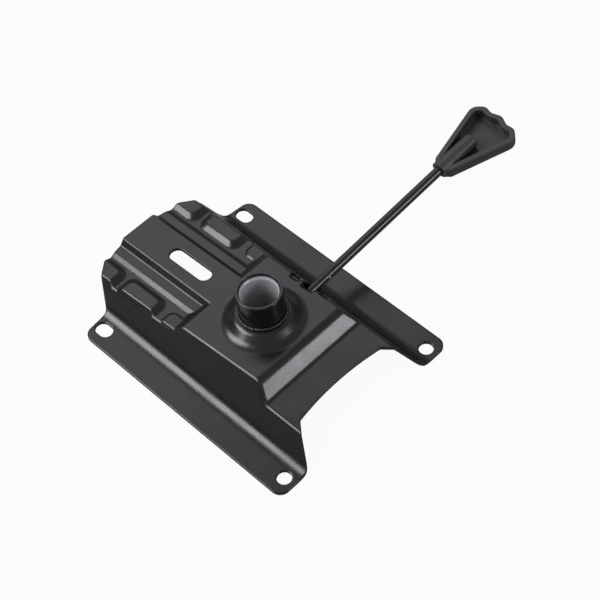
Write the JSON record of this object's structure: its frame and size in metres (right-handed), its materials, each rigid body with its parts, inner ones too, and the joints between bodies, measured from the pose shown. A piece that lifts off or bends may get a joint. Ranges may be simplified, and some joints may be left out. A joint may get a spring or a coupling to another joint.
{
  "type": "office chair seat plate with gas lift lever",
  "caption": "Pressed steel swivel chair plate, seat side down, with a tapered gas lift sleeve and a paddle lever that rocks through a side wall.",
  "frame": {"origin": "middle of the four seat screw holes, on the flanges' seat face", "axes": "+Z out of the sleeve's mouth, away from the seat; +X the chair's front; +Y the side the lever leaves by"},
  "size_m": [0.2503, 0.352, 0.0682],
  "materials": {
    "black_powder_coat": "semi gloss black powder coat",
    "black_enamel": "glossy black enamel",
    "black_nylon": "black nylon",
    "dark_spring_steel": "phosphated spring steel, dark grey with a dull sheen",
    "black_plastic": "moulded matte black plastic"
  },
  "bodies": {
    "plate": {"seat_plate": "black_powder_coat", "taper_sleeve": "black_powder_coat", "sleeve_weld_outer": "black_powder_coat", "sleeve_weld_inner": "black_powder_coat", "reinforcing_bridge": "black_powder_coat", "bridge_welds": "black_powder_coat", "lever_bush": "black_nylon"},
    "lever": {"lever_rod": "black_enamel", "lever_washers": "dark_spring_steel", "lever_clips": "dark_spring_steel", "lever_handle": "black_plastic"}
  },
  "joints": [
    {"name": "lever_rock", "type": "hinge", "parent": "plate", "child": "lever", "pos_m": [0.00727, 0.0395, 0.02302], "axis": [-0.9996, 0.0297, 0], "range_deg": [0, 6]}
  ]
}
